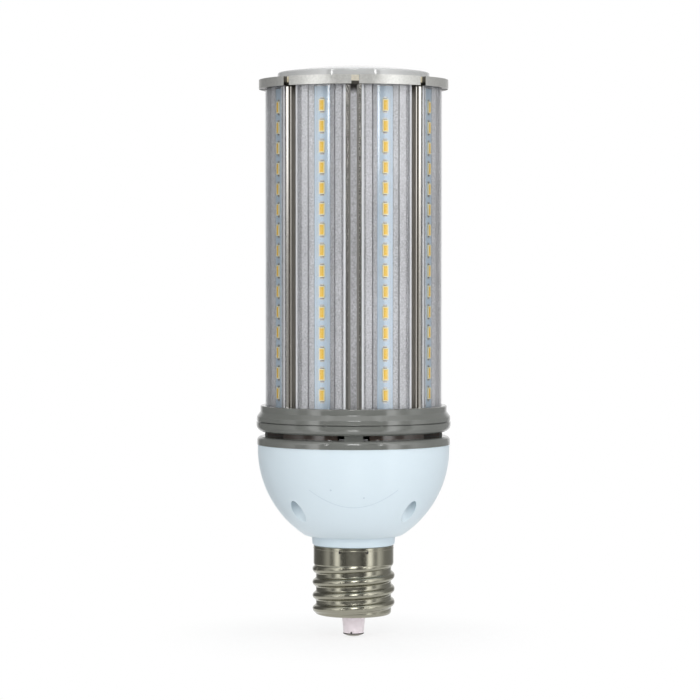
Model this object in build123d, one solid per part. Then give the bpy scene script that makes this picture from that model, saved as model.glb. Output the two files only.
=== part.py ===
from build123d import *
import os
from math import asin, cos, degrees, radians, sin, sqrt

# Corn-style LED lamp on a mogul screw base. Z is up and the origin is the tip of the centre contact.
# The front (-Y) faces a groove of the heat sink, and a panel of LEDs lies half a pitch to each side.

# Screw base
shell_bottom = 10.6
shell_top = 44.0
shell_wall = 0.6
thread_pitch = 6.35
thread_root_r = 18.0
thread_depth = 1.65
thread_rise = -0.4
thread_full_turns = 3
thread_start_angle = 60
thread_end_angle = 230
thread_edge_round = 3.4
thread_sunk = 0.12
skirt_step = 1.15
skirt_height = 8.4
skirt_blend = 3.0
skirt_bore_blend = 2.0
skirt_edge = 0.3
shell_edge_round = 1.5
shell_lip = 2.5
stake_r = 0.9
stake_depth = 0.35
stake_below_top = 2.2
stake_angles = (-20, 20, 160, 200)

# Centre contact and its insulator
contact_r = 4.85
contact_height = 1.5
contact_dome = 1.2
contact_shank_r = 1.4
contact_shank_top = 6.5
stem_flare = 0.85
insulator_bore_r = 1.5
insulator_side_gap = 1.9
insulator_disc_thickness = 2.6

# Driver housing: neck, bowl and screw wells
housing_wall = 2.0
neck_overhang = 0.5
neck_draft = 0.45
neck_height = 4.7
neck_rebate = 0.5
neck_rebate_depth = 0.65
spigot_wall = 1.45
spigot_depth = 11.0
spigot_step_depth = 7.0
bowl_r = 45.75
bowl_height = 43.5
bowl_floor_lip = 3.2
bowl_upright = 2.2
bowl_edge_round = 1.0
well_r = 3.6
well_wall = 1.6
well_depth = 12.2
well_gap = 0.3
rib_width = 2.0
rib_reach = 9.5

# Vent ring between the housing and the collars
vent_ring_overhang = 0.35
vent_ring_height = 3.9
vent_ring_round = 2.0
vent_ring_width = 16.1
vent_spigot_wall = 1.6
vent_spigot_depth = 3.2
vent_gap = 2.3
vent_post_width = 8.7
vent_post_depth = 9.4
vent_post_inset = 1.9
vent_wall_inset = 6.1
vent_wall_thickness = 1.6
vent_wall_from = 10.7
vent_wall_to = 55.5
vent_column_r = 3.4

# Collars
lower_collar_overhang = 0.3
lower_collar_height = 4.7
lower_collar_round = 3.2
upper_collar_inset = 0.2
upper_collar_band = 2.4
upper_collar_neck_wall = 2.5
upper_collar_slope = 2.4
upper_collar_top_band = 2.9
collar_floor = 1.9
collar_skin = 0.6
collar_bore_r = 12.0
collar_edge_round = 0.45
seam_depth = 1.2
seam_half_gap = 0.15

# Heat sink extrusion
panel_count = 8
sink_inset = 3.75
sink_length = 157.1
sink_wall = 8.8
groove_width = 7.4
groove_depth = 5.0
groove_bead = 0.4
groove_bead_depth = 2.5
groove_bead_width = 0.8
fin_wall = 1.1
flank_depth = 2.8
flank_start = 7.1
line_width = 0.9
line_depth = 0.5
rail_depth = 3.7
seat_depth = 5.4
inner_fin_count = 16
inner_fin_width = 1.2
inner_fin_length = 11.2
inner_fin_root = 0.3
channel_r = 3.8
channel_inset = 3.6

# Boards, LEDs and clear covers
board_width = 7.8
board_thickness = 1.6
board_side_gap = 0.2
board_end_gap = 1.5
led_count = 15
led_pitch = 9.63
led_rise = 12.0
led_height = 5.6
led_width = 3.0
led_depth = 0.8
cover_wall = 1.2
cover_side_gap = 0.1
cover_foot = 0.9

# End cap, top board and top lens
cap_overhang = 3.1
cap_height = 4.3
cap_lip_depth = 0.9
cap_floor = 1.5
cap_rim_width = 11.1
cap_bore_r = 6.0
notch_width = 3.6
notch_turn = 0.9
end_clearance = 0.15
top_board_gap = 8.0
top_led_rings = ((9.0, 6), (20.0, 12))
top_led_size = 3.5
lens_lip = 2.2
lens_rim = 3.4
lens_rise = 3.2
lens_wall = 1.8
lens_edge_round = 0.8
lens_spigot_wall = 1.4
lens_spigot_depth = 1.2
lens_gap = 0.15

# Screws
screw_r = 1.5
screw_clearance_r = 1.7
screw_head_r = 2.75
screw_head_height = 1.7
screw_drive_r = 1.1
screw_drive_depth = 1.0
screw_grip = 8.0
head_pocket_r = 3.1
head_pocket_depth = 2.6

# Driver electronics
driver_board_gap = 0.3
driver_board_depth = 10.2
transformer_size = (25.0, 10.0, 15.0)
transformer_place = (-9.0, 9.0)
winding_r = 9.0
winding_height = 11.0
choke_outer_r = 8.5
choke_inner_r = 4.0
choke_height = 7.0
choke_place = (-10.0, -13.0)
capacitors_at = ((12.0, 11.0, 6.5, 20.0), (16.0, -6.0, 5.0, 16.0), (5.0, -17.0, 4.0, 12.0))
lead_r = 0.8
lead_bend = 4.0
line_lead_shift = 3.0
line_lead_from = 24.0
line_lead_to = 40.0
neutral_lead_start = 26.0
neutral_lead_inset = 5.4
output_lead_spread = 3.0
wall_gap = 0.03

# Levels worked out from the sizes above
thread_first_crest = shell_bottom + thread_rise
skirt_bottom = shell_top - skirt_height
neck_top = shell_top + neck_height
bowl_top = neck_top + bowl_height
bowl_centre = bowl_top - bowl_upright
well_seat = bowl_top - well_depth
driver_board_level = bowl_top - driver_board_depth
vent_ring_top = bowl_top + vent_ring_height
lower_collar_bottom = vent_ring_top + vent_gap
seam_level = lower_collar_bottom + lower_collar_height
sink_bottom = seam_level + collar_floor
led_first = sink_bottom + led_rise
sink_top = sink_bottom + sink_length
cap_bottom = sink_top - cap_lip_depth
cap_top = cap_bottom + cap_height
top_board_level = sink_top + cap_floor

# Radii worked out from the sizes above: the base follows its thread, and the rest follows the bowl
thread_crest_r = thread_root_r + thread_depth
skirt_r = thread_root_r + skirt_step
core_r = thread_root_r - shell_wall
insulator_disc_r = core_r - insulator_side_gap
shell_lip_r = insulator_disc_r - shell_lip
stem_top_r = contact_r + stem_flare
neutral_lead_r = core_r - neutral_lead_inset
neck_bottom_r = skirt_r + neck_overhang
neck_top_r = neck_bottom_r + neck_draft
rebate_r = neck_bottom_r - neck_rebate_depth
bowl_floor_r = neck_top_r + bowl_floor_lip
neck_bore_r = core_r - end_clearance - spigot_wall
well_circle_r = (bowl_r - housing_wall - end_clearance - vent_spigot_wall
                 - well_gap - well_wall - well_r)
driver_board_r = well_circle_r - well_r - well_wall - driver_board_gap
vent_ring_r = bowl_r + vent_ring_overhang
vent_ring_bore_r = vent_ring_r - vent_ring_width
vent_wall_r = vent_ring_r - vent_wall_inset
lower_collar_r = vent_ring_r + lower_collar_overhang
upper_collar_r = lower_collar_r - upper_collar_inset
sink_r = bowl_r - sink_inset
upper_collar_neck_r = sink_r + upper_collar_neck_wall
flank_r = sink_r - flank_depth
rail_start_r = sink_r - rail_depth
seat_r = sink_r - seat_depth
groove_bottom_r = sink_r - groove_depth
groove_bead_r = sink_r - groove_bead_depth
sink_bore_r = sink_r - sink_wall
channel_circle_r = sink_bore_r - channel_inset
cap_r = sink_r + cap_overhang
cap_recess_r = cap_r - cap_rim_width
lens_r = cap_recess_r + lens_lip
top_board_r = cap_recess_r - top_board_gap
panel_step = 360 / panel_count
base_align = (Align.CENTER, Align.CENTER, Align.MIN)
tiny = 0.001


def disc(radius, bottom, top):
    return Pos(0, 0, bottom) * Cylinder(radius, top - bottom, align=base_align)


def post_at(circle_r, angle, radius, bottom, top):
    return Rot(0, 0, angle) * Pos(0, -circle_r, 0) * disc(radius, bottom, top)


def revolved(*edges):
    return revolve(Plane.XZ * make_face(Curve() + list(edges)), Axis.Z)


def revolved_outline(*points):
    return revolve(Plane.XZ * Polygon(*points, align=None), Axis.Z)


def turned(shape, count, first=0.0):
    return [Rot(0, 0, first + 360 / count * step) * shape for step in range(count)]


def extruded(section, bottom, top):
    return Pos(0, 0, bottom) * extrude(section, top - bottom)


def thread_ridge(crest_r, root_r, bottom, turns):
    # Crest and root are tangent arcs of one radius, which the depth and the pitch set.
    # The root dips a little under the core, so that the ridge cuts the core cleanly.
    low_r = root_r - thread_sunk
    depth = crest_r - low_r
    half = thread_pitch / 2
    arc_r = (depth ** 2 + half ** 2) / (4 * depth)
    foot_rise = thread_sunk / 4
    foot_in = sqrt(arc_r ** 2 - (arc_r - foot_rise) ** 2)
    foot = (low_r + foot_rise, half - foot_in)
    middle = (low_r + depth / 2, half / 2)
    swing = (asin(half / 2 / arc_r) + asin(foot_in / arc_r)) / 2
    hollow = (low_r + arc_r * (1 - cos(swing)), half - arc_r * sin(swing))
    sunk_r = low_r - thread_sunk
    crest = ThreePointArc(below(middle), (crest_r, 0), middle)
    upper_root = ThreePointArc(middle, hollow, foot)
    lower_root = ThreePointArc(below(foot), below(hollow), below(middle))
    back = Polyline(foot, (sunk_r, foot[1]), (sunk_r, -foot[1]), below(foot))
    section = Plane.XZ * make_face(Curve() + [crest, upper_root, back, lower_root])
    path = Helix(thread_pitch, thread_pitch * turns, low_r)
    return Pos(0, 0, bottom) * sweep(section, path, is_frenet=True)


def below(point):
    return (point[0], -point[1])


def screw_shell():
    # The thread's ridge starts at the back, low on the shell, and fades out under the skirt.
    turns = thread_full_turns + (thread_end_angle - thread_start_angle) / 360
    first = thread_first_crest + thread_pitch * thread_start_angle / 360
    ridge = Rot(0, 0, thread_start_angle) * thread_ridge(thread_crest_r, thread_root_r, first, turns)
    ridge &= rounded_bottom(disc(thread_crest_r + tiny, shell_bottom, shell_top), thread_edge_round)
    last = first + thread_pitch * turns
    ridge -= run_out(thread_start_angle, first - thread_pitch / 2, first + thread_pitch / 2)
    ridge -= run_out(thread_end_angle, last - thread_pitch / 2, last + thread_pitch)
    shell = rounded_bottom(disc(thread_root_r, shell_bottom, shell_top), shell_edge_round) + ridge

    # The skirt swells out of the root in two tangent arcs.
    blend_bottom = skirt_bottom - skirt_blend
    blend_middle = skirt_bottom - skirt_blend / 2
    arc_r = (skirt_step ** 2 + skirt_blend ** 2) / (4 * skirt_step)
    swing = asin(skirt_blend / 2 / arc_r) / 2
    bulge = arc_r * (1 - cos(swing))
    rise = arc_r * sin(swing)
    between = (thread_root_r + skirt_step / 2, blend_middle)
    lower = ThreePointArc((thread_root_r, blend_bottom),
                          (thread_root_r + bulge, blend_bottom + rise), between)
    upper = ThreePointArc(between, (skirt_r - bulge, skirt_bottom - rise), (skirt_r, skirt_bottom))
    ring = Polyline((skirt_r, skirt_bottom), (skirt_r, shell_top - skirt_edge),
                    (skirt_r - skirt_edge, shell_top), (core_r, shell_top),
                    (core_r, blend_bottom - shell_wall), (thread_root_r, blend_bottom - shell_wall),
                    (thread_root_r, blend_bottom))
    shell += revolved(lower, upper, ring)

    rim_r = skirt_r - shell_wall
    inside_bottom = shell_bottom + shell_wall
    bore = revolved_outline((0, inside_bottom), (core_r, inside_bottom),
                            (core_r, blend_middle - skirt_bore_blend / 2),
                            (rim_r, blend_middle + skirt_bore_blend / 2),
                            (rim_r, shell_top), (0, shell_top))
    shell -= rounded_bottom(bore, shell_edge_round - shell_wall)
    shell -= disc(shell_lip_r, shell_bottom, inside_bottom)
    stake = Pos(0, -(skirt_r + stake_r - stake_depth), shell_top - stake_below_top) * Sphere(stake_r)
    for angle in stake_angles:
        shell -= Rot(0, 0, angle) * stake
    return shell


def run_out(angle, bottom, top):
    # A flat cut, square to the radius, that lets one end of the ridge sink into the core.
    width = thread_crest_r
    across = Box(width, 2 * width, top - bottom, align=(Align.MIN, Align.CENTER, Align.MIN))
    return Rot(0, 0, angle) * Pos(thread_root_r + wall_gap, 0, bottom) * across


def rounded_bottom(shape, radius):
    edge = shape.edges().filter_by(GeomType.CIRCLE).sort_by(Axis.Z)[0]
    return fillet(edge, radius)


def outer_circle(shape, level):
    circles = shape.edges().filter_by(GeomType.CIRCLE)
    return circles.filter_by_position(Axis.Z, level - tiny, level + tiny).sort_by(SortBy.RADIUS)[-1]


def insulator():
    disc_bottom = shell_bottom + shell_wall
    body = revolved_outline((insulator_bore_r, contact_height), (contact_r, contact_height),
                            (stem_top_r, disc_bottom), (insulator_disc_r, disc_bottom),
                            (insulator_disc_r, disc_bottom + insulator_disc_thickness),
                            (insulator_bore_r, disc_bottom + insulator_disc_thickness))
    return body


def centre_contact():
    dome = ThreePointArc((0, 0), (contact_r * 0.6, contact_dome * 0.3), (contact_r, contact_dome))
    rest = Polyline((contact_r, contact_dome), (contact_r, contact_height),
                    (contact_shank_r, contact_height), (contact_shank_r, contact_shank_top),
                    (0, contact_shank_top), (0, 0))
    return revolved(dome, rest)


def bowl_curve(inset, from_level):
    # One arc makes the bowl's side, upright at its top and cut off by the flat floor.
    height = bowl_centre - neck_top
    spread = bowl_r - bowl_floor_r
    bowl_arc_r = (height ** 2 + spread ** 2) / (2 * spread)
    arc_r = bowl_arc_r - inset
    across = bowl_r - bowl_arc_r
    middle_level = (from_level + bowl_centre) / 2
    start, middle = [(across + sqrt(arc_r ** 2 - (bowl_centre - level) ** 2), level)
                     for level in (from_level, middle_level)]
    return ThreePointArc(start, middle, (bowl_r - inset, bowl_centre))


def driver_housing():
    floor_top = neck_top + housing_wall
    spigot_r = skirt_r - shell_wall - end_clearance
    spigot_tip_r = core_r - end_clearance
    rebate_top = shell_top + neck_rebate
    outside = bowl_curve(0, neck_top)
    inside = bowl_curve(housing_wall, floor_top)
    lower = Polyline((neck_bore_r, floor_top), (neck_bore_r, shell_top - spigot_depth),
                     (spigot_tip_r, shell_top - spigot_depth),
                     (spigot_tip_r, shell_top - spigot_step_depth),
                     (spigot_r, shell_top - spigot_step_depth), (spigot_r, shell_top),
                     (rebate_r, shell_top), (rebate_r, rebate_top), (neck_bottom_r, rebate_top),
                     (neck_top_r, neck_top), outside @ 0)
    rim = Polyline(outside @ 1, (bowl_r, bowl_top), (bowl_r - housing_wall, bowl_top), inside @ 1)
    floor = Line(inside @ 0, (neck_bore_r, floor_top))
    housing = revolved(lower, outside, rim, inside, floor)
    housing = fillet(outer_circle(housing, neck_top), bowl_edge_round)

    closing = Polyline(outside @ 1, (bowl_r, bowl_top), (0, bowl_top), (0, neck_top), outside @ 0)
    envelope = revolved(outside, closing)
    boss = Pos(0, -well_circle_r, 0) * disc(well_r + well_wall, neck_top, bowl_top)
    rib = Pos(0, -well_circle_r + rib_reach / 2, neck_top) * Box(
        rib_width, rib_reach, driver_board_level - neck_top, align=base_align)
    for place in turned(boss + rib, 4, 45):
        housing += place & envelope
    for step in range(4):
        angle = 45 + 90 * step
        housing -= post_at(well_circle_r, angle, well_r, neck_top - 1, well_seat)
        housing -= post_at(well_circle_r, angle, screw_clearance_r, well_seat, bowl_top)
    return housing


def vent_ring():
    shoulder = vent_ring_r - vent_ring_round
    spigot_r = bowl_r - housing_wall - end_clearance
    spigot_bottom = bowl_top - vent_spigot_depth
    corner = vent_ring_round * (1 - sqrt(0.5))
    round_over = ThreePointArc((vent_ring_r, vent_ring_top - vent_ring_round),
                               (vent_ring_r - corner, vent_ring_top - corner),
                               (shoulder, vent_ring_top))
    rest = Polyline((shoulder, vent_ring_top), (vent_ring_bore_r, vent_ring_top),
                    (vent_ring_bore_r, bowl_top), (spigot_r - vent_spigot_wall, bowl_top),
                    (spigot_r - vent_spigot_wall, spigot_bottom), (spigot_r, spigot_bottom),
                    (spigot_r, bowl_top), (vent_ring_r, bowl_top),
                    (vent_ring_r, vent_ring_top - vent_ring_round))
    ring = revolved(round_over, rest)
    post_r = shoulder - vent_post_inset
    post = Pos(0, -post_r + vent_post_depth / 2, vent_ring_top) * Box(
        vent_post_width, vent_post_depth, vent_gap, align=base_align)
    for place in turned(post, 4):
        ring += place
    section = Circle(vent_wall_r) - Circle(vent_wall_r - vent_wall_thickness)
    for first in (vent_wall_from, -vent_wall_to, 180 + vent_wall_from, 180 - vent_wall_to):
        ring += extruded(section & wedge(first, first + vent_wall_to - vent_wall_from),
                         vent_ring_top, lower_collar_bottom)
    for step in range(4):
        angle = 45 + 90 * step
        ring += post_at(well_circle_r, angle, vent_column_r, vent_ring_top, lower_collar_bottom)
        ring -= post_at(well_circle_r, angle, screw_clearance_r, bowl_top, lower_collar_bottom)
    return ring


def wedge(first, last):
    # A flat sector from the axis outwards, with angles measured from the front.
    reach = 2 * sink_r
    corners = [(reach * sin(radians(angle)), -reach * cos(radians(angle))) for angle in (first, last)]
    return Polygon((0, 0), *corners, align=None)


def lower_collar():
    flat_r = lower_collar_r - lower_collar_round
    corner = lower_collar_round * (1 - sqrt(0.5))
    under = ThreePointArc((flat_r, lower_collar_bottom),
                          (lower_collar_r - corner, lower_collar_bottom + corner),
                          (lower_collar_r, lower_collar_bottom + lower_collar_round))
    rim_top = seam_level - seam_half_gap
    rest = Polyline((lower_collar_r, lower_collar_bottom + lower_collar_round),
                    (lower_collar_r, rim_top), (lower_collar_r - seam_depth, rim_top),
                    (lower_collar_r - seam_depth, seam_level), (collar_bore_r, seam_level),
                    (collar_bore_r, lower_collar_bottom), (flat_r, lower_collar_bottom))
    collar = revolved(under, rest)
    for step in range(4):
        angle = 90 * step
        collar -= post_at(channel_circle_r, angle, head_pocket_r, lower_collar_bottom,
                          lower_collar_bottom + head_pocket_depth)
        collar -= post_at(channel_circle_r, angle, screw_clearance_r, lower_collar_bottom, seam_level)
        collar -= post_at(well_circle_r, angle + 45, screw_r, lower_collar_bottom,
                          seam_level - collar_skin)
    return collar


def upper_collar():
    band_top = seam_level + upper_collar_band
    slope_top = band_top + upper_collar_slope
    top = slope_top + upper_collar_top_band
    pocket_r = sink_r + end_clearance
    collar = revolved_outline(
        (collar_bore_r, seam_level), (upper_collar_r - seam_depth, seam_level),
        (upper_collar_r - seam_depth, seam_level + seam_half_gap),
        (upper_collar_r, seam_level + seam_half_gap), (upper_collar_r, band_top),
        (upper_collar_neck_r, slope_top), (upper_collar_neck_r, top), (pocket_r, top),
        (pocket_r, sink_bottom), (collar_bore_r, sink_bottom))
    rounds = (upper_collar_r, upper_collar_neck_r)
    outer_edges = collar.edges().filter_by(GeomType.CIRCLE).filter_by(
        lambda edge: any(abs(edge.radius - radius) < tiny for radius in rounds))
    collar = fillet(outer_edges, collar_edge_round)
    for step in range(4):
        collar -= post_at(channel_circle_r, 90 * step, screw_clearance_r, seam_level, sink_bottom)
    return collar


def groove_side(radius, offset):
    # How far across a panel a line parallel to the groove lies, at a given height over the axis.
    half = radians(panel_step / 2)
    return (radius * sin(half) - offset) / cos(half)


def panel_trough():
    seat_half = board_width / 2 + board_side_gap
    side = groove_width / 2 + fin_wall
    far_r = sink_r + 2
    right = [(seat_half, -seat_r), (seat_half, -rail_start_r), (flank_start - line_width, -flank_r),
             (flank_start - line_width / 2, -(flank_r - line_depth)), (flank_start, -flank_r),
             (groove_side(flank_r, side), -flank_r), (groove_side(far_r, side), -far_r)]
    left = [(-across, down) for across, down in reversed(right)]
    return Polygon(*right, *left, align=None)


def groove():
    half = groove_width / 2
    far_r = sink_r + 2
    neck = half - groove_bead
    bead_out = groove_bead_r + groove_bead_width / 2
    bead_in = groove_bead_r - groove_bead_width / 2
    foot_r = groove_bottom_r + groove_bead
    right = [(neck, -groove_bottom_r), (neck, -foot_r), (half, -foot_r - groove_bead / 2),
             (half, -bead_in + groove_bead / 2), (neck, -bead_in), (neck, -bead_out),
             (half, -bead_out - groove_bead / 2), (half, -far_r)]
    left = [(-across, down) for across, down in reversed(right)]
    return Polygon(*right, *left, align=None)


def heat_sink():
    section = Circle(sink_r)
    for step in range(panel_count):
        section -= Rot(0, 0, panel_step * (step + 0.5)) * panel_trough()
        section -= Rot(0, 0, panel_step * step) * groove()
    section -= Circle(sink_bore_r)
    fin_length = inner_fin_length + inner_fin_root
    fin_middle = sink_bore_r + inner_fin_root - fin_length / 2
    fin_step = 360 / inner_fin_count
    for step in range(inner_fin_count):
        section += Rot(0, 0, fin_step * (step + 0.5)) * Pos(0, -fin_middle) * Rectangle(
            inner_fin_width, fin_length)
    for step in range(4):
        channel = Rot(0, 0, 90 * step) * Pos(0, -channel_circle_r)
        section += channel * Circle(channel_r)
        section -= channel * Circle(screw_r)
    return extruded(section, sink_bottom, sink_top)


def panel_place(number):
    return Rot(0, 0, panel_step * (number - 0.5))


def led_board(number):
    board = Pos(0, -seat_r - board_thickness / 2, sink_bottom) * Box(
        board_width, board_thickness, sink_length - 2 * board_end_gap, align=base_align)
    return panel_place(number) * Pos(0, 0, board_end_gap) * board


def led_strip(number):
    middle = seat_r + board_thickness + led_depth / 2
    package = Pos(0, -middle, led_first) * Box(led_width, led_depth, led_height)
    strip = [Pos(0, 0, led_pitch * step) * package for step in range(led_count)]
    return panel_place(number) * Compound(strip)


def lens_cover(number):
    side = groove_width / 2 + fin_wall + cover_side_gap
    inner_r = sink_r - cover_wall
    far_r = sink_r + 2
    mouth = Polygon((groove_side(flank_r, side), -flank_r), (groove_side(far_r, side), -far_r),
                    (-groove_side(far_r, side), -far_r), (-groove_side(flank_r, side), -flank_r),
                    align=None)
    section = (Circle(sink_r) - Circle(inner_r)) & mouth
    foot_side = groove_side(flank_r, side) - cover_foot / 2
    for sign in (-1, 1):
        foot = Pos(sign * foot_side, -(flank_r + cover_wall / 2)) * Rectangle(cover_foot, cover_wall)
        section += foot & Circle(sink_r) & mouth
    return panel_place(number) * extruded(section, sink_bottom, sink_top)


def top_cap():
    lip_r = sink_r + end_clearance
    cap = disc(cap_r, cap_bottom, cap_top) - disc(lip_r, cap_bottom, sink_top)
    cap -= disc(cap_recess_r, top_board_level, cap_top)
    cap -= disc(cap_bore_r, sink_top, cap_top)
    notch_depth = 2 * (cap_r - lip_r)
    notch = Pos(0, -lip_r - notch_depth / 2, cap_bottom) * Box(
        notch_width, notch_depth, cap_height, align=base_align)
    for place in turned(notch, panel_count, notch_turn):
        cap -= place
    for step in range(4):
        cap -= post_at(channel_circle_r, 90 * step, screw_clearance_r, sink_top, top_board_level)
    return cap


def top_led_board():
    return disc(top_board_r, top_board_level, top_board_level + board_thickness)


def top_leds():
    level = top_board_level + board_thickness
    package = Box(top_led_size, top_led_size, led_depth, align=base_align)
    packages = []
    for circle_r, count in top_led_rings:
        packages += turned(Pos(0, -circle_r, level) * package, count)
    return Compound(packages)


def top_lens():
    rim_top = cap_top + lens_rim
    crown = rim_top + lens_rise
    spigot_r = cap_recess_r - lens_gap
    outer_dome = ThreePointArc((lens_r, rim_top), dome_middle(lens_r, rim_top, crown), (0, crown))
    inner_r = lens_r - lens_wall
    inner_rim = rim_top - lens_wall
    inner_crown = crown - lens_wall
    inner_dome = ThreePointArc((0, inner_crown), dome_middle(spigot_r - lens_spigot_wall, inner_rim,
                                                             inner_crown),
                               (spigot_r - lens_spigot_wall, inner_rim))
    rest = Polyline((spigot_r - lens_spigot_wall, inner_rim),
                    (spigot_r - lens_spigot_wall, cap_top - lens_spigot_depth),
                    (spigot_r, cap_top - lens_spigot_depth), (spigot_r, cap_top),
                    (lens_r, cap_top), (lens_r, rim_top))
    lens = revolved(outer_dome, Line((0, crown), (0, inner_crown)), inner_dome, rest)
    return fillet(outer_circle(lens, rim_top), lens_edge_round)


def dome_middle(radius, rim_level, crown_level):
    # The point of the dome's arc half way across it, from the rise and the width of the arc.
    rise = crown_level - rim_level
    arc_r = (radius ** 2 + rise ** 2) / (2 * rise)
    return (radius / 2, crown_level - arc_r + sqrt(arc_r ** 2 - (radius / 2) ** 2))


def screw(length):
    # The head sits on z = 0 and points up, and the shank hangs below it.
    body = Cylinder(screw_head_r, screw_head_height, align=base_align)
    body += Pos(0, 0, -length) * Cylinder(screw_r, length, align=base_align)
    top = Pos(0, 0, screw_head_height - screw_drive_depth)
    body -= top * extrude(RegularPolygon(screw_drive_r, 6), screw_drive_depth)
    return body


def screw_group(circle_r, first_angle, level, length, upwards):
    placed = Pos(0, -circle_r, level)
    one = screw(length) if upwards else Rot(180, 0, 0) * screw(length)
    return Compound(turned(placed * one, 4, first_angle))


def housing_screws():
    length = seam_level - collar_skin - well_seat - 0.2
    return screw_group(well_circle_r, 45, well_seat, length, False)


def collar_screws():
    level = lower_collar_bottom + head_pocket_depth
    return screw_group(channel_circle_r, 0, level, sink_bottom - level + screw_grip, False)


def cap_screws():
    return screw_group(channel_circle_r, 0, top_board_level, cap_floor + screw_grip, True)


def driver_board():
    return disc(driver_board_r, driver_board_level, driver_board_level + board_thickness)


def hung(x, y, shape, height):
    # A component soldered under the driver board.
    return Pos(x, y, driver_board_level - height) * shape


def transformer():
    length, width, height = transformer_size
    core = Box(length, width, height, align=base_align)
    winding = Pos(0, 0, (height - winding_height) / 2) * Cylinder(
        winding_r, winding_height, align=base_align)
    return hung(*transformer_place, core + winding, height)


def input_choke():
    ring_shape = Rot(0, 90, 0) * (Cylinder(choke_outer_r, choke_height)
                                  - Cylinder(choke_inner_r, choke_height))
    return hung(*choke_place, ring_shape, choke_outer_r)


def capacitors():
    cans = [hung(x, y, Cylinder(radius, height, align=base_align), height)
            for x, y, radius, height in capacitors_at]
    return Compound(cans)


def wire(*points):
    path = FilletPolyline(*points, radius=lead_bend) if len(points) > 2 else Line(*points)
    section = Plane(origin=path @ 0, z_dir=path % 0) * Circle(lead_r)
    return sweep(section, path)


def line_lead():
    return wire((0, 0, contact_shank_top), (0, 0, line_lead_from),
                (0, -line_lead_shift, line_lead_to), (0, -line_lead_shift, driver_board_level))


def neutral_lead():
    wall_r = core_r - wall_gap
    return wire((wall_r, 0, neutral_lead_start), (neutral_lead_r, 0, neutral_lead_start),
                (neutral_lead_r, 0, driver_board_level))


def output_leads():
    start = driver_board_level + board_thickness
    return Compound([wire((x, 0, start), (x, 0, top_board_level))
                     for x in (-output_lead_spread, output_lead_spread)])


pieces = {
    "screw_shell": screw_shell(),
    "insulator": insulator(),
    "centre_contact": centre_contact(),
    "driver_housing": driver_housing(),
    "driver_board": driver_board(),
    "transformer": transformer(),
    "input_choke": input_choke(),
    "capacitors": capacitors(),
    "line_lead": line_lead(),
    "neutral_lead": neutral_lead(),
    "output_leads": output_leads(),
    "housing_screws": housing_screws(),
    "vent_ring": vent_ring(),
    "lower_collar": lower_collar(),
    "upper_collar": upper_collar(),
    "collar_screws": collar_screws(),
    "heat_sink": heat_sink(),
    "top_cap": top_cap(),
    "cap_screws": cap_screws(),
    "top_led_board": top_led_board(),
    "top_leds": top_leds(),
    "top_lens": top_lens(),
}
for number in range(1, panel_count + 1):
    pieces[f"led_board_{number}"] = led_board(number)
    pieces[f"led_strip_{number}"] = led_strip(number)
    pieces[f"lens_cover_{number}"] = lens_cover(number)

os.makedirs("parts", exist_ok=True)
for name, piece in pieces.items():
    export_step(piece, f"parts/{name}.step")
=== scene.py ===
import math

import bmesh
import bpy
from mathutils import Matrix, Vector


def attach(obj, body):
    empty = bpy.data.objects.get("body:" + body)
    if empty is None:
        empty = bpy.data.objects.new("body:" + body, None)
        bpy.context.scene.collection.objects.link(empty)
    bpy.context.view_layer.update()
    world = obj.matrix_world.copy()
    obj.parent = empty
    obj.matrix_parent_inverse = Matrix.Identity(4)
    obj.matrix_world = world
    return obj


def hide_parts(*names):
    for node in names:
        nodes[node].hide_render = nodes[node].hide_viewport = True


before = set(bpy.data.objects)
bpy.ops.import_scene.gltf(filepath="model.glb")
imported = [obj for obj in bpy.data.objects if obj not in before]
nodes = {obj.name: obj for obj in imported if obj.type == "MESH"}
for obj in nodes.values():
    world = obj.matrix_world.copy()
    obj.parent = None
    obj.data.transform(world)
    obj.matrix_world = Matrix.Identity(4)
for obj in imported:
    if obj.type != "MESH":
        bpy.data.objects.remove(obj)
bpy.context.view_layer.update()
scene = bpy.context.scene
scene.view_settings.view_transform = "Standard"
print("frame loaded:", len(nodes), "nodes")


def addObject(name, data):
    obj = bpy.data.objects.new(name, data)
    scene.collection.objects.link(obj)
    return obj


def toMesh(name, bm):
    mesh = bpy.data.meshes.new(name)
    bm.to_mesh(mesh)
    bm.free()
    return mesh


# camera of the photograph: a long lens, just above the middle, looking slightly down
camera = {"lens": 144.0, "sensor": 36.0, "side": -0.0017, "distance": 1.337, "height": 0.1772, "pitch": 1.72,
          "near": 0.05, "far": 20.0}


def makeCamera():
    data = bpy.data.cameras.new("photoCamera")
    data.lens = camera["lens"]
    data.sensor_width = camera["sensor"]
    data.clip_start = camera["near"]
    data.clip_end = camera["far"]
    obj = addObject("photoCamera", data)
    obj.location = (camera["side"], -camera["distance"], camera["height"])
    obj.rotation_euler = (math.radians(90 - camera["pitch"]), 0, 0)
    scene.camera = obj


makeCamera()
print("camera placed")


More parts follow.
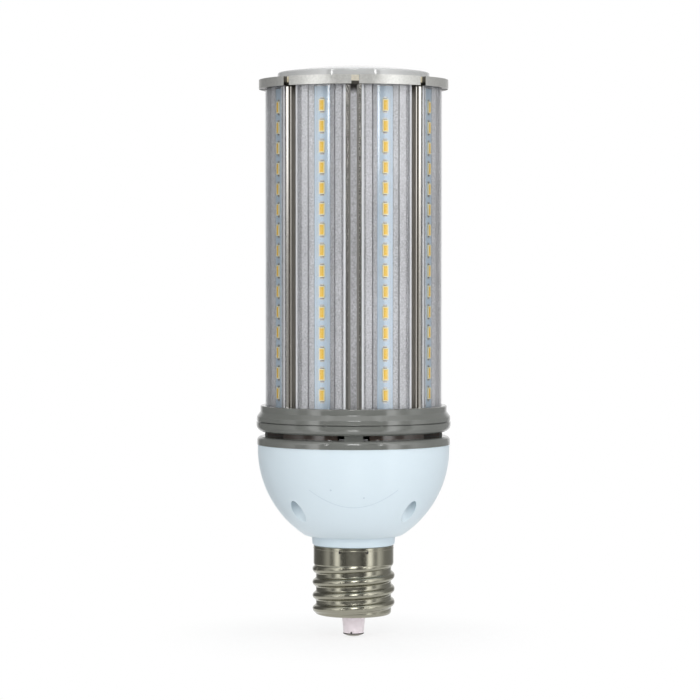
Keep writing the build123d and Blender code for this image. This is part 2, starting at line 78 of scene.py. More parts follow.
# small helpers for node trees
class Tree:
    def __init__(self, tree):
        self.tree = tree
        self.nodes = tree.nodes
        self.links = tree.links

    def add(self, kind, **settings):
        node = self.nodes.new(kind)
        for key, value in settings.items():
            setattr(node, key, value)
        return node

    def put(self, socket, value):
        if isinstance(value, bpy.types.NodeSocket):
            self.links.new(value, socket)
        else:
            socket.default_value = value

    def math(self, operation, first, second=None, third=None, clamp=False):
        node = self.add("ShaderNodeMath", operation=operation, use_clamp=clamp)
        for socket, value in zip(node.inputs, (first, second, third)):
            if value is not None:
                self.put(socket, value)
        return node.outputs[0]

    def ramp(self, value, low, high, toLow=0.0, toHigh=1.0, smooth=False):
        node = self.add("ShaderNodeMapRange", interpolation_type="SMOOTHSTEP" if smooth else "LINEAR")
        for socket, item in zip(node.inputs, (value, low, high, toLow, toHigh)):
            self.put(socket, item)
        return node.outputs[0]

    def blend(self, factor, first, second):
        node = self.add("ShaderNodeMix", data_type="FLOAT")
        for index, item in zip((0, 2, 3), (factor, first, second)):
            self.put(node.inputs[index], item)
        return node.outputs[0]

    def mix(self, factor, first, second):
        node = self.add("ShaderNodeMix", data_type="RGBA")
        for index, item in zip((0, 6, 7), (factor, first, second)):
            self.put(node.inputs[index], item)
        return node.outputs[2]

    def noise(self, vector, scale, detail):
        node = self.add("ShaderNodeTexNoise")
        for label, value in (("Vector", vector), ("Scale", scale), ("Detail", detail)):
            self.put(node.inputs[label], value)
        return node.outputs["Fac"]

    def scaled(self, colour, factor):
        node = self.add("ShaderNodeVectorMath", operation="SCALE")
        self.put(node.inputs[0], colour)
        self.put(node.inputs["Scale"], factor)
        return node.outputs[0]

    def axes(self, label):
        coord = self.add("ShaderNodeTexCoord")
        split = self.add("ShaderNodeSeparateXYZ")
        self.links.new(coord.outputs[label], split.inputs[0])
        return split.outputs

    def fromAxis(self, x, y):
        return self.math("SQRT", self.math("ADD", self.math("MULTIPLY", x, x), self.math("MULTIPLY", y, y)))

    def group(self, group, values):
        node = self.add("ShaderNodeGroup", node_tree=group)
        for label, value in values.items():
            node.inputs[label].default_value = value
        return node

    def output(self, kind, factor, first, second):
        shader = self.add("ShaderNodeMixShader")
        for socket, item in zip(shader.inputs, (factor, first.outputs[0], second.outputs[0])):
            self.put(socket, item)
        self.links.new(shader.outputs[0], self.add(kind).inputs[0])


def srgb(*levels):
    def toLinear(value):
        value /= 255
        return value / 12.92 if value <= 0.04045 else ((value + 0.055) / 1.055) ** 2.4
    return (*[toLinear(level) for level in levels], 1.0)


# studio light, all of it in the world, by azimuth from the front in degrees and by height, which is the
# direction's z: softboxes at both sides whose inner edges are the brightest and whose low parts are shaded, a gap
# in front whose margins are the darkest, a narrow window in it, high up and low down, and four slim tubes
studio = {
    "gapFrom": 38.5, "gapTo": 43.5, "gapLevel": 0.32, "gapDark": 0.11, "darkFrom": 14.0, "darkTo": 24.0,
    "edgeFrom": 51.0, "edgeTo": 57.0, "edgeLeft": 2.1, "edgeRight": 2.5, "boxLeft": 0.85, "boxRight": 1.20,
    "sideFrom": 74.0, "sideTo": 104.0, "sideLeft": 0.20, "sideRight": 0.38,
    "lowStart": 57.0, "lowFull": 61.0, "lowFade": 70.0, "lowEnd": 76.0,
    "lowFrom": -0.010, "lowTo": 0.045, "lowLevel": 0.28,
    "backFrom": 148.0, "backTo": 168.0, "backLevel": 1.0,
    "windowHalf": 9.0, "windowFull": 6.5, "windowLow": 0.24, "windowHigh": 0.72, "soft": 0.05,
    "windowLevel": 6.0, "windowBelow": 3.0,
    "tubeLow": 0.022, "tubeFull": 0.050, "tubeHigh": 0.45, "tubeCore": 0.5,
    "tubes": ((-61.0, 4.0, 0.9), (-33.0, 1.6, 9.5), (33.0, 1.6, 9.5), (61.0, 4.0, 0.7)),  # middle, half, gain
    "topFrom": 0.80, "topTo": 0.95, "topLevel": 1.3, "underFrom": -0.55, "underTo": -0.75, "underLevel": 0.9,
}


def makeWorld():
    world = bpy.data.worlds.new("studio")
    scene.world = world
    world.use_nodes = True
    t = Tree(world.node_tree)
    t.nodes.clear()
    s = studio
    x, y, z = t.axes("Generated")
    azimuth = t.math("MULTIPLY", t.math("ARCTAN2", x, t.math("MULTIPLY", y, -1.0)), 180 / math.pi)
    side = t.math("ABSOLUTE", azimuth)
    edge, box, flank = [t.ramp(azimuth, -s["gapTo"], s["gapTo"], s[part + "Left"], s[part + "Right"])
                        for part in ("edge", "box", "side")]
    level = t.ramp(side, s["darkFrom"], s["darkTo"], s["gapLevel"], s["gapDark"], smooth=True)
    for part, other in (("gap", edge), ("edge", box), ("side", flank)):
        level = t.blend(t.ramp(side, s[part + "From"], s[part + "To"], smooth=True), level, other)
    lowSide = t.math("MULTIPLY", t.ramp(side, s["lowStart"], s["lowFull"], smooth=True),
                     t.ramp(side, s["lowEnd"], s["lowFade"], smooth=True))
    shade = t.ramp(z, s["lowFrom"], s["lowTo"], s["lowLevel"], 1.0, smooth=True)
    level = t.math("MULTIPLY", level, t.blend(lowSide, 1.0, shade))
    level = t.blend(t.ramp(side, s["backFrom"], s["backTo"], smooth=True), level, s["backLevel"])
    front = t.ramp(side, s["windowHalf"], s["windowFull"], smooth=True)
    window = t.math("MULTIPLY", front,
                    t.math("MULTIPLY", t.ramp(z, s["windowLow"], s["windowLow"] + s["soft"], smooth=True),
                           t.ramp(z, s["windowHigh"] + s["soft"], s["windowHigh"], smooth=True)))
    level = t.math("MULTIPLY_ADD", window, s["windowLevel"], level)
    below = t.math("MULTIPLY", front, t.ramp(z, -s["windowLow"], -s["windowLow"] - s["soft"], smooth=True))
    level = t.math("MULTIPLY_ADD", below, s["windowBelow"], level)
    high = t.math("MULTIPLY", t.ramp(z, s["tubeLow"], s["tubeFull"], smooth=True),
                  t.ramp(z, s["tubeHigh"] + s["soft"], s["tubeHigh"], smooth=True))
    for middle, half, gain in s["tubes"]:
        off = t.math("ABSOLUTE", t.math("SUBTRACT", azimuth, middle))
        tube = t.math("MULTIPLY", t.ramp(off, half, half * s["tubeCore"], smooth=True), high)
        level = t.math("MULTIPLY_ADD", tube, gain, level)
    for part in ("top", "under"):
        level = t.blend(t.ramp(z, s[part + "From"], s[part + "To"], smooth=True), level, s[part + "Level"])
    light = t.add("ShaderNodeBackground")
    t.links.new(level, light.inputs["Strength"])
    white = t.add("ShaderNodeBackground")
    for background in (light, white):
        background.inputs["Color"].default_value = (1.0, 1.0, 1.0, 1.0)
    path = t.add("ShaderNodeLightPath")
    straight = t.math("MAXIMUM", path.outputs["Is Camera Ray"], path.outputs["Is Transmission Ray"])
    t.output("ShaderNodeOutputWorld", straight, light, white)


makeWorld()
print("studio light set")


# pale floor that keeps the lamp's shadow, no wider than that shadow
floorLook = {"radius": 0.110, "segments": 96, "white": 0.97, "shadowShare": 0.20, "fadeFrom": 0.045,
             "fadeTo": 0.105}


def makeFloor():
    bm = bmesh.new()
    bmesh.ops.create_circle(bm, cap_ends=True, segments=floorLook["segments"], radius=floorLook["radius"])
    mesh = toMesh("floor", bm)
    obj = addObject("floor", mesh)
    material = bpy.data.materials.new("paleFloor")
    material.use_nodes = True
    t = Tree(material.node_tree)
    t.nodes.clear()
    coord = t.add("ShaderNodeTexCoord")
    length = t.add("ShaderNodeVectorMath", operation="LENGTH")
    t.links.new(coord.outputs["Object"], length.inputs[0])
    share = t.ramp(length.outputs["Value"], floorLook["fadeFrom"], floorLook["fadeTo"],
                   floorLook["shadowShare"], 0.0, smooth=True)
    diffuse = t.add("ShaderNodeBsdfDiffuse")
    diffuse.inputs["Color"].default_value = (*[floorLook["white"]] * 3, 1.0)
    white = t.add("ShaderNodeEmission")
    white.inputs["Strength"].default_value = 1.0
    path = t.add("ShaderNodeLightPath")
    seen = t.math("MAXIMUM", path.outputs["Is Camera Ray"], path.outputs["Is Glossy Ray"])
    seen = t.math("MAXIMUM", seen, path.outputs["Is Transmission Ray"])
    seen = t.math("MULTIPLY", seen, t.math("SUBTRACT", 1.0, share))
    t.output("ShaderNodeOutputMaterial", seen, diffuse, white)
    mesh.materials.append(material)


makeFloor()
print("floor laid")


# shared effects, as node groups: grain that breaks up colour and roughness, and masks by place on the lamp
def makeGroup(name, inputs, outputs):
    group = bpy.data.node_groups.new(name, "ShaderNodeTree")
    for label, kind, value in inputs:
        group.interface.new_socket(name=label, in_out="INPUT", socket_type=kind).default_value = value
    for label, kind in outputs:
        group.interface.new_socket(name=label, in_out="OUTPUT", socket_type=kind)
    t = Tree(group)
    return t, t.add("NodeGroupInput"), t.add("NodeGroupOutput")


grainLook = {"fineDetail": 3.0, "fineShare": 0.7, "broadScale": 22.0, "broadDetail": 2.0, "broadShare": 0.3}


def makeGrainGroup():
    t, given, result = makeGroup("surfaceGrain", [
        ("Colour", "NodeSocketColor", (0.5, 0.5, 0.5, 1.0)), ("Spread", "NodeSocketFloat", 0.06),
        ("Rough", "NodeSocketFloat", 0.4), ("Rough Spread", "NodeSocketFloat", 0.08),
        ("Scale", "NodeSocketFloat", 300.0), ("Stretch", "NodeSocketFloat", 1.0)],
        [("Colour", "NodeSocketColor"), ("Roughness", "NodeSocketFloat"), ("Height", "NodeSocketFloat")])
    coord = t.add("ShaderNodeTexCoord")
    stretch = t.add("ShaderNodeCombineXYZ")
    for socket, value in zip(stretch.inputs, (1.0, 1.0, given.outputs["Stretch"])):
        t.put(socket, value)
    mapping = t.add("ShaderNodeMapping")
    t.links.new(coord.outputs["Object"], mapping.inputs["Vector"])
    t.links.new(stretch.outputs[0], mapping.inputs["Scale"])
    height = t.noise(mapping.outputs[0], given.outputs["Scale"], grainLook["fineDetail"])
    broad = t.noise(coord.outputs["Object"], grainLook["broadScale"], grainLook["broadDetail"])
    both = t.math("ADD", t.math("MULTIPLY", height, grainLook["fineShare"]),
                  t.math("MULTIPLY", broad, grainLook["broadShare"]))
    signed = t.math("MULTIPLY", t.math("SUBTRACT", both, 0.5), 2.0)
    gain = t.math("MULTIPLY_ADD", signed, given.outputs["Spread"], 1.0)
    rough = t.math("MULTIPLY_ADD", signed, given.outputs["Rough Spread"], given.outputs["Rough"])
    t.links.new(t.scaled(given.outputs["Colour"], gain), result.inputs["Colour"])
    t.links.new(rough, result.inputs["Roughness"])
    t.links.new(height, result.inputs["Height"])
    return t.tree


# painted shade on the heat sink: where its grooves, slits and flanks lie, which are all painted darker, with a
# painted shadow arching under the cap at each groove's top: each pair is where a mask starts and where it is
# full, across the groove, beside the panel's middle, up the lamp or out from its axis
shadeOnSink = {"wallEdge": (0.00378, 0.00368), "mouth": (0.0418, 0.0414), "corner": (0.0015, 0.003256),
          "cornerShade": 0.80, "bead": 0.00325, "beadHalf": 0.00022, "beadFrom": 0.0372,
          "arch": (0.2565, 0.2605), "archLean": 260.0,
          "slitStart": (0.00617, 0.00635), "slitEnd": (0.00713, 0.00695), "slitOut": (0.0403, 0.0399),
          "slitShade": 0.40,
          "flankStart": (0.0071, 0.0073), "flankEnd": (0.0046, 0.0048), "flankShade": 0.16}


def makeSinkShadeGroup():
    t, given, result = makeGroup("sinkPaintedShade", [("Strength", "NodeSocketFloat", 1.0)],
                                 [("Mask", "NodeSocketFloat")])
    c = shadeOnSink
    x, y, z = t.axes("Object")
    radius = t.fromAxis(x, y)
    turn = t.math("ARCTAN2", x, t.math("MULTIPLY", y, -1.0))
    halfStep = math.pi / 8
    fromGroove = t.math("ABSOLUTE", t.math("WRAP", turn, halfStep, -halfStep))
    across = t.math("MULTIPLY", radius, t.math("SINE", fromGroove))
    beside = t.math("MULTIPLY", radius, t.math("SINE", t.math("SUBTRACT", halfStep, fromGroove)))
    # painted shade in each groove's corners, left off its beads
    corner = t.ramp(across, *c["corner"], 0.0, c["cornerShade"], smooth=True)
    bead = t.math("MULTIPLY", t.math("COMPARE", across, c["bead"], c["beadHalf"]),
                  t.math("GREATER_THAN", radius, c["beadFrom"]))
    corner = t.math("MULTIPLY", corner, t.math("SUBTRACT", 1.0, bead))
    # painted shadow under the cap at each groove's top, reaching further down at the groove's sides
    arch = t.math("MULTIPLY_ADD", t.math("MULTIPLY", across, across), c["archLean"], z)
    arch = t.ramp(arch, *c["arch"], smooth=True)
    inside = t.math("MULTIPLY", t.ramp(across, *c["wallEdge"]), t.ramp(radius, *c["mouth"]))
    groove = t.math("MULTIPLY", inside, t.math("MAXIMUM", corner, arch))
    # painted shade in the slits along each panel
    slit = t.math("MULTIPLY", t.ramp(beside, *c["slitStart"]), t.ramp(beside, *c["slitEnd"]))
    slit = t.math("MULTIPLY", slit, t.ramp(radius, *c["slitOut"]))
    # painted shade on the flanks between the slits and the grooves
    flank = t.math("MULTIPLY", t.ramp(beside, *c["flankStart"]), t.ramp(across, *c["flankEnd"]))
    mask = t.math("MAXIMUM", groove, t.math("MULTIPLY", slit, c["slitShade"]))
    mask = t.math("MAXIMUM", mask, t.math("MULTIPLY", flank, c["flankShade"]))
    t.links.new(t.math("MULTIPLY", mask, given.outputs["Strength"]), result.inputs["Mask"])
    return t.tree


# a band between two radii and two levels, inside which a part's colour changes: painted shade and painted light
# in the cap's notches, and a darker, browner inner wall on the vent ring
def makeBandGroup():
    t, given, result = makeGroup("bandMask", [
        ("Inner Radius", "NodeSocketFloat", 0.0), ("Outer Radius", "NodeSocketFloat", 0.04),
        ("Low", "NodeSocketFloat", 0.0), ("High", "NodeSocketFloat", 0.3),
        ("Strength", "NodeSocketFloat", 1.0)], [("Mask", "NodeSocketFloat")])
    x, y, z = t.axes("Object")
    radius = t.fromAxis(x, y)
    mask = given.outputs["Strength"]
    for value, inner, outer in ((radius, "Inner Radius", "Outer Radius"), (z, "Low", "High")):
        mask = t.math("MULTIPLY", mask, t.math("GREATER_THAN", value, given.outputs[inner]))
        mask = t.math("MULTIPLY", mask, t.math("LESS_THAN", value, given.outputs[outer]))
    t.links.new(mask, result.inputs["Mask"])
    return t.tree


grainGroup = makeGrainGroup()
sinkShadeGroup = makeSinkShadeGroup()
bandGroup = makeBandGroup()
finishes = {}


def newFinish(name):
    material = bpy.data.materials.new(name)
    material.use_nodes = True
    finishes[name] = material
    t = Tree(material.node_tree)
    return t, t.nodes["Principled BSDF"]


def setSockets(shader, sockets):
    for label, value in sockets.items():
        shader.inputs[label.replace("_", " ")].default_value = value


def addFinish(name, colour, rough, spread=0.04, roughSpread=0.05, scale=300.0, bump=0.1, bumpDepth=0.00005,
              **sockets):
    t, shader = newFinish(name)
    grain = t.group(grainGroup, {"Colour": colour, "Spread": spread, "Rough": rough,
                                 "Rough Spread": roughSpread, "Scale": scale, "Stretch": 1.0})
    t.links.new(grain.outputs["Colour"], shader.inputs["Base Color"])
    t.links.new(grain.outputs["Roughness"], shader.inputs["Roughness"])
    bumpNode = t.add("ShaderNodeBump")
    bumpNode.inputs["Strength"].default_value = bump
    bumpNode.inputs["Distance"].default_value = bumpDepth
    t.links.new(grain.outputs["Height"], bumpNode.inputs["Height"])
    t.links.new(bumpNode.outputs[0], shader.inputs["Normal"])
    setSockets(shader, sockets)
    return t, grain


def addMasked(name, colour, rough, layers, **more):
    # a finish whose colour gives way to another one where each mask in turn says so
    t, grain = addFinish(name, colour, rough, **more)
    tint = colour
    for group, values, other in layers:
        tint = t.mix(t.group(group, values).outputs["Mask"], tint, other)
    t.links.new(tint, grain.inputs["Colour"])


def band(inner, outer, low, high, strength=1.0):
    return {"Inner Radius": inner, "Outer Radius": outer, "Low": low, "High": high, "Strength": strength}


# the heat sink's aluminium, painted darker by the mask above: painted shade in its grooves, slits and flanks, and
# a painted shadow under the cap
addMasked("sinkMetal", srgb(200, 201, 205), 0.40, [(sinkShadeGroup, {"Strength": 0.95}, srgb(60, 56, 51))],
          spread=0.95, roughSpread=0.10, scale=1500.0, bump=0.6, bumpDepth=0.00010, Metallic=0.62)
# the cap's metal, painted at the radii and heights of its notches: painted shade on their side walls, painted
# light on their beige back wall and a painted shadow at their foot
addMasked("capMetal", srgb(205, 205, 201), 0.33, [
    (bandGroup, band(0.0423, 0.0450, 0.2613, 0.2654, 0.85), srgb(64, 62, 58)),
    (bandGroup, band(0.0415, 0.0428, 0.2610, 0.2654), srgb(236, 230, 212)),
    (bandGroup, band(0.0415, 0.0448, 0.2610, 0.2627, 0.92), srgb(40, 38, 36))],
    spread=0.30, scale=1100.0, bump=0.2, Metallic=0.75)
# the vent ring's inner wall, inside the gap, is darker and browner
addMasked("ventPlastic", srgb(110, 112, 108), 0.10, [
    (bandGroup, band(0.0, 0.0412, 0.0962, 0.0983), srgb(84, 70, 62))],
    spread=0.08, roughSpread=0.02, scale=700.0, bump=0.02, bumpDepth=0.00002, Specular_IOR_Level=0.75)

addFinish("nickelShell", srgb(154, 152, 138), 0.21, spread=0.06, scale=500.0, bump=0.05, Metallic=1.0)
addFinish("paleInsulator", srgb(248, 238, 243), 0.22, spread=0.02, scale=200.0, bump=0.02, Sheen_Weight=0.5)
addFinish("contactMetal", srgb(150, 146, 136), 0.32, spread=0.10, scale=400.0, bump=0.10, Metallic=1.0)
addFinish("whitePlastic", srgb(218, 232, 240), 0.36, spread=0.012, scale=900.0, bump=0.04, bumpDepth=0.00003)
addFinish("greyPlastic", srgb(110, 112, 108), 0.10, spread=0.05, roughSpread=0.02, scale=700.0, bump=0.02,
          bumpDepth=0.00002, Specular_IOR_Level=0.75)
addFinish("ledBoard", srgb(182, 200, 216), 0.38, spread=0.03, scale=400.0, bump=0.03)
addFinish("ledBody", srgb(232, 222, 186), 0.40, spread=0.02, scale=900.0, bump=0.02)
addFinish("phosphor", srgb(232, 188, 34), 0.50, spread=0.08, scale=2500.0, bump=0.10, Specular_IOR_Level=0.15)
addFinish("packageFoot", srgb(92, 82, 84), 0.35, spread=0.06, scale=900.0, bump=0.05)
addFinish("screwSteel", srgb(176, 176, 172), 0.30, spread=0.08, scale=600.0, bump=0.08, Metallic=1.0)
addFinish("boardGreen", srgb(40, 110, 66), 0.38, spread=0.06, scale=500.0, bump=0.04)
addFinish("ferrite", srgb(58, 56, 54), 0.55, spread=0.10, scale=700.0, bump=0.2)
addFinish("capacitorSleeve", srgb(48, 48, 54), 0.28, spread=0.05, scale=500.0, bump=0.03)
addFinish("mouldMark", srgb(199, 215, 226), 0.36, spread=0.02, scale=900.0, bump=0.04)
addFinish("trackMask", srgb(180, 196, 208), 0.34, spread=0.03, scale=400.0, bump=0.03)
# dark colour of the joints at the contact, also used as painted shade in the stake dents
addFinish("darkJointAndShade", srgb(52, 50, 48), 0.45, spread=0.10, scale=600.0, bump=0.10)
addFinish("ledgePolish", srgb(240, 237, 230), 0.10, spread=0.04, scale=600.0, bump=0.03, Metallic=1.0)
# pale matte fin tips: a painted highlight on the heat sink's metal
addFinish("finTipHighlight", srgb(212, 214, 217), 0.35, spread=0.05, scale=900.0, bump=0.05)
addFinish("grooveWall", srgb(168, 163, 154), 0.36, spread=0.10, scale=900.0, bump=0.10, Metallic=0.7)
addFinish("leadJacket", srgb(190, 44, 36), 0.42, spread=0.05, scale=600.0, bump=0.05)


# clear plastic: what it mirrors grows towards its edges, it is painted darker where seen at a slant, as on the
# side panels, which is painted shade, and the rest goes through
clear = {"straightOn": 0.04, "power": 5.0, "spread": 0.01, "roughSpread": 0.003, "scale": 120.0,
         "stretch": 0.1}


def addClear(name, tint, rough, share, body, slantShade, **sockets):
    t, shader = newFinish(name)
    grain = t.group(grainGroup, {"Colour": tint, "Spread": clear["spread"], "Rough": rough,
                                 "Rough Spread": clear["roughSpread"], "Scale": clear["scale"],
                                 "Stretch": clear["stretch"]})
    t.links.new(grain.outputs["Roughness"], shader.inputs["Roughness"])
    edge = t.add("ShaderNodeLayerWeight")
    edge.inputs["Blend"].default_value = 0.5
    facing = edge.outputs["Facing"]
    gloss = t.math("MULTIPLY_ADD", t.math("POWER", facing, clear["power"]), (1 - clear["straightOn"]) * share,
                   clear["straightOn"] * share + body)
    # painted shade: at a slant the cover grows more opaque and darker
    slant = t.math("POWER", t.math("MULTIPLY", facing, t.math("SUBTRACT", 1.0, facing)), 2.0)
    alpha = t.math("MULTIPLY_ADD", slant, slantShade, gloss, clamp=True)
    shown = t.scaled(grain.outputs["Colour"], t.math("DIVIDE", gloss, alpha, clamp=True))
    t.links.new(alpha, shader.inputs["Alpha"])
    t.links.new(shown, shader.inputs["Base Color"])
    setSockets(shader, sockets)


addClear("clearCover", srgb(250, 251, 252), 0.04, share=0.80, body=0.0, slantShade=0.7, Metallic=1.0)
addClear("topLens", srgb(208, 209, 209), 0.06, share=0.5, body=0.84, slantShade=0.0, Specular_IOR_Level=1.0)

nodeFinish = {
    "screw_shell": "nickelShell", "insulator": "paleInsulator", "centre_contact": "contactMetal",
    "driver_housing": "whitePlastic", "vent_ring": "ventPlastic", "lower_collar": "greyPlastic",
    "upper_collar": "greyPlastic", "heat_sink": "sinkMetal", "top_cap": "capMetal", "top_lens": "topLens",
    "driver_board": "boardGreen", "transformer": "ferrite", "input_choke": "ferrite",
    "capacitors": "capacitorSleeve", "line_lead": "leadJacket", "neutral_lead": "leadJacket",
    "output_leads": "leadJacket", "housing_screws": "screwSteel", "collar_screws": "screwSteel",
    "cap_screws": "screwSteel", "top_led_board": "ledBoard", "top_leds": "ledBody",
}
for number in range(1, 9):
    nodeFinish[f"led_board_{number}"] = "ledBoard"
    nodeFinish[f"led_strip_{number}"] = "ledBody"
    nodeFinish[f"lens_cover_{number}"] = "clearCover"

for node, finish in nodeFinish.items():
    for slot in nodes[node].material_slots:
        slot.material = finishes[finish]
print("finishes set on", len(nodeFinish), "nodes")


# small helpers for the pieces: one bmesh becomes one object at the origin
def makePiece(name, bm, materials):
    bmesh.ops.remove_doubles(bm, verts=bm.verts, dist=1e-7)
    bmesh.ops.recalc_face_normals(bm, faces=bm.faces)
    mesh = toMesh(name, bm)
    for label in materials:
        mesh.materials.append(finishes[label])
    return addObject(name, mesh)


def addBlock(bm, size, middle, bevel=0.0, slot=0):
    made = bmesh.ops.create_cube(bm, size=1.0)["verts"]
    bmesh.ops.scale(bm, verts=made, vec=size)
    bmesh.ops.translate(bm, verts=made, vec=middle)
    for face in {face for vert in made for face in vert.link_faces}:
        face.material_index = slot
    if bevel:
        edges = list({edge for vert in made for edge in vert.link_edges})
        bmesh.ops.bevel(bm, geom=edges, offset=bevel, offset_type="OFFSET", segments=2, affect="EDGES",
                        profile=0.5, material=-1)


def addUprightCircle(bm, segments, radius):
    made = bmesh.ops.create_circle(bm, segments=segments, radius=radius)["verts"]
    bmesh.ops.rotate(bm, verts=made, cent=(0, 0, 0), matrix=Matrix.Rotation(math.radians(90), 3, "X"))
    return made


def copyInto(bm, mesh, place):
    start = len(bm.verts)
    bm.from_mesh(mesh)
    bm.verts.ensure_lookup_table()
    bmesh.ops.transform(bm, matrix=place, verts=bm.verts[start:])


# the LED packages: a pale body with a sunk yellow window and two tinned feet
led = {"width": 0.0030, "height": 0.0056, "depth": 0.0008, "round": 0.00016, "border": 0.00030,
       "sunk": 0.00016, "wallLean": 0.6, "footWidth": 0.0017, "footHeight": 0.00040, "footDepth": 0.00030,
       "footOut": 0.35, "footRound": 0.00006, "count": 15, "first": 0.1170, "pitch": 0.00963,
       "board": 0.0382, "panelStep": 45.0, "finishes": ("ledBody", "phosphor", "packageFoot")}
topLed = {"size": 0.0035, "rings": ((0.0090, 6), (0.0200, 12)), "level": 0.2652}


def packageMesh(width, height, depth):
    bm = bmesh.new()
    addBlock(bm, (width, depth, height), (0, -depth / 2, 0), led["round"])
    front = min(bm.faces, key=lambda face: (round(face.calc_center_median().y, 7), -face.calc_area()))
    bmesh.ops.inset_region(bm, faces=[front], thickness=led["border"], depth=0.0, use_even_offset=True)
    pushed = bmesh.ops.inset_region(bm, faces=[front], thickness=led["sunk"] * led["wallLean"],
                                    depth=-led["sunk"])
    front.material_index = 1
    for face in pushed["faces"]:
        face.material_index = 0
    for sign in (-1, 1):
        level = sign * (height / 2 + led["footHeight"] * led["footOut"])
        addBlock(bm, (led["footWidth"], led["footDepth"], led["footHeight"]),
                 (0, -led["footDepth"] / 2, level), led["footRound"], 2)
    return toMesh("package", bm)


def makeLeds():
    one = packageMesh(led["width"], led["height"], led["depth"])
    for number in range(1, 9):
        bm = bmesh.new()
        angle = math.radians(led["panelStep"] * (number - 0.5))
        for step in range(led["count"]):
            level = led["first"] + led["pitch"] * step
            copyInto(bm, one, Matrix.Rotation(angle, 4, "Z") @ Matrix.Translation((0, -led["board"], level)))
        strip = makePiece(f"ledPackages{number}", bm, led["finishes"])
        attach(strip, "root")
        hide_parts(f"led_strip_{number}")
    square = packageMesh(topLed["size"], topLed["size"], led["depth"])
    bm = bmesh.new()
    for radius, count in topLed["rings"]:
        for step in range(count):
            place = (Matrix.Rotation(math.radians(360 / count * step), 4, "Z")
                     @ Matrix.Translation((0, -radius, topLed["level"]))
                     @ Matrix.Rotation(math.radians(-90), 4, "X"))
            copyInto(bm, square, place)
    packages = makePiece("topPackages", bm, led["finishes"])
    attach(packages, "root")
    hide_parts("top_leds")


makeLeds()
print("LED packages made")


# tinned pads and feed tracks on the LED boards
track = {"width": 0.0006, "thick": 0.00006, "offset": 0.0028, "bottom": 0.1090, "top": 0.2585,
         "padWidth": 0.0021, "padHeight": 0.0009, "padOut": 0.0033}


def makeTracks():
    single = bmesh.new()
    front = -led["board"] - track["thick"] / 2
    for sign in (-1, 1):
        addBlock(single, (track["width"], track["thick"], track["top"] - track["bottom"]),
                 (sign * track["offset"], front, (track["bottom"] + track["top"]) / 2))
        for step in range(led["count"]):
            level = led["first"] + led["pitch"] * step + sign * track["padOut"]
            pad = (track["padWidth"], track["thick"], track["padHeight"])
            addBlock(single, pad, (0, front, level), slot=1)
    mesh = toMesh("tracks", single)
    bm = bmesh.new()
    for number in range(1, 9):
        copyInto(bm, mesh, Matrix.Rotation(math.radians(led["panelStep"] * (number - 0.5)), 4, "Z"))
    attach(makePiece("boardTracks", bm, ("trackMask", "screwSteel")), "root")


makeTracks()
print("board tracks made")


# the faint moulding marks on the bowl, a shallow arc and two gate dots (angle, level, radius)
bowl = {"radius": 0.04575, "arcRadius": 0.0492, "centre": 0.0900, "wire": 0.00020, "sunk": 0.00010,
        "arcLow": 0.0649, "arcRise": 0.0000097, "arcEnd": 29, "arcStep": 2,
        "dots": ((-14.4, 0.0735, 0.00095), (6.7, 0.0699, 0.00090)), "dotSunk": 0.84}


def onBowl(angle, level, inset):
    across = bowl["radius"] - bowl["arcRadius"]
    reach = across + math.sqrt((bowl["arcRadius"] - inset) ** 2 - (bowl["centre"] - level) ** 2)
    turn = math.radians(angle)
    return Vector((reach * math.sin(turn), -reach * math.cos(turn), level))


def makeBowlMarks():
    curve = bpy.data.curves.new("bowlArc", "CURVE")
    curve.dimensions = "3D"
    curve.bevel_depth = bowl["wire"]
    curve.bevel_resolution = 2
    angles = range(-bowl["arcEnd"], bowl["arcEnd"] + 1, bowl["arcStep"])
    line = curve.splines.new("POLY")
    line.points.add(len(angles) - 1)
    for point, angle in zip(line.points, angles):
        level = bowl["arcLow"] + bowl["arcRise"] * angle ** 2
        point.co = (*onBowl(angle, level, bowl["sunk"]), 1.0)
    holder = bpy.data.objects.new("bowlArc", curve)
    bm = bmesh.new()
    bm.from_mesh(holder.to_mesh())
    holder.to_mesh_clear()
    bpy.data.objects.remove(holder)
    for angle, level, radius in bowl["dots"]:
        dot = bmesh.ops.create_uvsphere(bm, u_segments=16, v_segments=8, radius=radius)["verts"]
        bmesh.ops.translate(bm, verts=dot, vec=onBowl(angle, level, radius * bowl["dotSunk"]))
    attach(makePiece("bowlMarks", bm, ("mouldMark",)), "root")


# the stakes in the shell's rim, drawn as small dark blobs on it: painted shade of the stake dents
stakes = {"radius": 0.01912, "level": 0.0421, "width": 0.00042, "depth": 0.00016, "height": 0.00085,
          "angles": (-20.0, 20.0, 160.0, 200.0)}


def makeStakes():
    bm = bmesh.new()
    for angle in stakes["angles"]:
        dent = bmesh.ops.create_uvsphere(bm, u_segments=12, v_segments=8, radius=1.0)["verts"]
        bmesh.ops.scale(bm, verts=dent, vec=(stakes["width"], stakes["depth"], stakes["height"]))
        bmesh.ops.translate(bm, verts=dent, vec=(0, -stakes["radius"], stakes["level"]))
        bmesh.ops.rotate(bm, verts=dent, cent=(0, 0, 0), matrix=Matrix.Rotation(math.radians(angle), 3, "Z"))
    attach(makePiece("stakeDentShade", bm, ("darkJointAndShade",)), "root")


makeBowlMarks()
makeStakes()
print("bowl marks and stakes made")


# the last part of the thread's top turn, which runs out into the skirt
threadEnd = {"root": 0.0178, "crest": 0.01955, "endCrest": 0.0188, "half": 0.0021, "pitch": 0.00635,
             "from": 140.0, "fadeFrom": 253.0, "to": 345.0, "startSweep": 0.35, "startDip": 0.035,
             "level": 0.0102, "turns": 3, "steps": 80, "segments": 20}


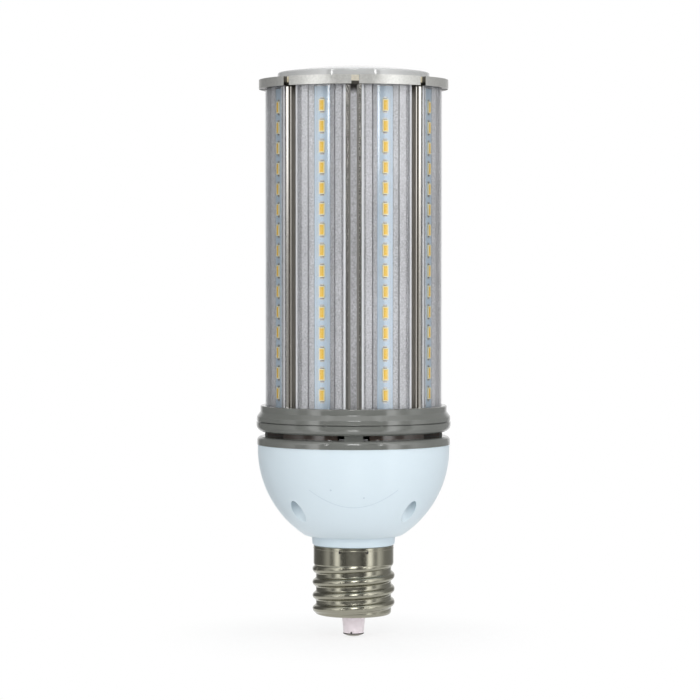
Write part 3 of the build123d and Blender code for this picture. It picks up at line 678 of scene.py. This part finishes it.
def makeThreadEnd():
    bm = bmesh.new()
    e = threadEnd
    start = math.radians(e["from"])
    fadeStart = math.radians(e["fadeFrom"])
    sweep = math.radians(e["to"] - e["from"])
    lift = e["pitch"] * (e["turns"] + e["from"] / 360)
    rise = e["pitch"] * (e["to"] - e["from"]) / 360
    made = addUprightCircle(bm, e["segments"], 1.0)
    bmesh.ops.scale(bm, verts=made, vec=(e["crest"] - e["root"], 1, e["half"]))
    bmesh.ops.translate(bm, verts=made, vec=(e["root"], 0, e["level"] + lift))
    bmesh.ops.rotate(bm, verts=made, cent=(0, 0, 0), matrix=Matrix.Rotation(start, 3, "Z"))
    bmesh.ops.spin(bm, geom=bm.edges[:] + bm.verts[:], cent=(0, 0, 0), axis=(0, 0, 1), angle=sweep,
                   steps=e["steps"], dvec=(0, 0, rise / e["steps"]))
    for vert in bm.verts:
        turned = (math.atan2(vert.co.y, vert.co.x) - start) % (2 * math.pi)
        away = max(0.0, min(1.0, (turned + start - fadeStart) / (start + sweep - fadeStart)))
        early = max(0.0, 1 - turned / e["startSweep"])
        fade = 1 - away * (e["crest"] - e["endCrest"]) / e["crest"] - early * e["startDip"]
        vert.co.x *= fade
        vert.co.y *= fade
    bmesh.ops.holes_fill(bm, edges=[edge for edge in bm.edges if edge.is_boundary])
    piece = makePiece("threadEnd", bm, ("nickelShell",))
    for face in piece.data.polygons:
        face.use_smooth = True
    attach(piece, "root")


makeThreadEnd()
print("thread's end made")


# polished ledges along both walls of each groove, whose fronts lean in towards its middle, and fin tips whose
# pale matte colour is a painted highlight
# (radius of the front, distance across the groove, width, depth, lean in degrees, the front's finish)
ledge = {"bottom": 0.1050, "top": 0.2610, "step": 45.0, "frontTo": -0.7,
         "bars": ((0.0409, 0.00310, 0.0014, 0.0006, 14.5, 0),
                  (0.0399, 0.00260, 0.0022, 0.0030, 9.5, 0),
                  (0.0418, 0.00425, 0.0008, 0.0005, -5.8, 2)),
         "finishes": ("ledgePolish", "grooveWall", "finTipHighlight")}


def makeLedges():
    single = bmesh.new()
    height = ledge["top"] - ledge["bottom"]
    for radius, across, width, depth, lean, slot in ledge["bars"]:
        for sign in (-1, 1):
            start = len(single.verts)
            addBlock(single, (width, depth, height), (0, 0, 0), slot=1)
            single.verts.ensure_lookup_table()
            made = single.verts[start:]
            shear = Matrix.Identity(4)
            shear[1][0] = -sign * math.tan(math.radians(lean))
            bmesh.ops.transform(single, matrix=shear, verts=made)
            bmesh.ops.translate(single, verts=made, vec=(sign * across, depth / 2 - radius,
                                                         ledge["bottom"] + height / 2))
            for face in {face for vert in made for face in vert.link_faces}:
                face.normal_update()
                if face.normal.y < ledge["frontTo"]:
                    face.material_index = slot
    mesh = toMesh("ledges", single)
    bm = bmesh.new()
    for number in range(8):
        copyInto(bm, mesh, Matrix.Rotation(math.radians(ledge["step"] * number), 4, "Z"))
    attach(makePiece("grooveLedges", bm, ledge["finishes"]), "root")


makeLedges()
print("groove ledges made")


# rings turned about the lamp's axis: the bead under the shell's rim and the dark joint at the contact
# (radius, level, thickness, finish)
rings = {"rimBead": (0.01912, 0.04245, 0.00016, "nickelShell"),
         "contactJoint": (0.00474, 0.00150, 0.00030, "darkJointAndShade")}


def makeRings():
    for name, (radius, level, thick, finish) in rings.items():
        bm = bmesh.new()
        made = addUprightCircle(bm, 8, thick)
        bmesh.ops.translate(bm, verts=made, vec=(radius, 0, level))
        bmesh.ops.spin(bm, geom=bm.edges[:] + bm.verts[:], cent=(0, 0, 0), axis=(0, 0, 1),
                       angle=math.radians(360), steps=96, use_merge=True)
        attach(makePiece(name, bm, (finish,)), "root")


# a small dark nick beside the contact's joint, left of the middle
nick = {"radius": 0.00050, "shape": (1.0, 0.6, 1.5), "middle": (-0.00105, -0.00482, 0.00190)}


def makeNick():
    bm = bmesh.new()
    bmesh.ops.create_icosphere(bm, subdivisions=2, radius=nick["radius"])
    bmesh.ops.scale(bm, verts=bm.verts, vec=nick["shape"])
    bmesh.ops.translate(bm, verts=bm.verts, vec=nick["middle"])
    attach(makePiece("jointNick", bm, ("darkJointAndShade",)), "root")


makeRings()
makeNick()
print("rings and nick made")
